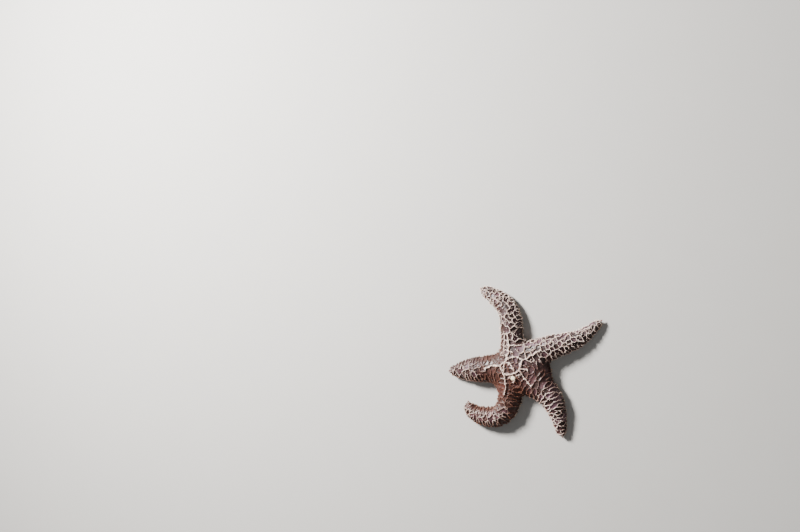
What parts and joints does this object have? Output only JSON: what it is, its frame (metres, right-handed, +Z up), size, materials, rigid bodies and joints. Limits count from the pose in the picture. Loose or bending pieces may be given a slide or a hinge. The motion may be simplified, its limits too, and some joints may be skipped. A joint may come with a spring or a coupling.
{
  "type": "ochre sea star",
  "caption": "Ochre sea star, a starfish at life size: domed disc, tapering arms, one curled under, with a madreporite, mouth jaws and grooves below.",
  "frame": {"origin": "on the floor, under the middle of the whole star's box; the disc's own middle is at about x -0.0084, y -0.0103", "axes": "+Z up from the floor; seen from above, arm_a points to about +Y, arm_b to +X, arm_e to -X"},
  "size_m": [0.219, 0.1966, 0.027],
  "materials": {
    "skin_purple": "wet purple-brown skin, soft sheen, sunk between pale spines",
    "skin_orange": "wet orange-brown skin, soft sheen, sunk between pinkish spines",
    "madreporite": "matte cream plate with fine winding grooves",
    "eyespot": "small glossy red bead",
    "jaw": "matte pale plate"
  },
  "bodies": {
    "root": {"disc": "skin_purple", "arm_a_base": "skin_purple", "arm_a_middle": "skin_purple", "arm_a_tip": "skin_purple", "arm_b_base": "skin_purple", "arm_b_middle": "skin_purple", "arm_b_tip": "skin_purple", "arm_c_base": "skin_purple", "arm_c_middle": "skin_purple", "arm_c_tip": "skin_purple", "arm_d_base": "skin_orange", "arm_d_middle": "skin_orange", "arm_d_tip": "skin_orange", "arm_e_base": "skin_orange", "arm_e_tip": "skin_orange", "madreporite": "madreporite", "eyespot_a": "eyespot", "eyespot_b": "eyespot", "eyespot_c": "eyespot", "eyespot_d": "eyespot", "eyespot_e": "eyespot", "jaw_ab": "jaw", "jaw_bc": "jaw", "jaw_cd": "jaw", "jaw_de": "jaw", "jaw_ae": "jaw"}
  },
  "joints": []
}
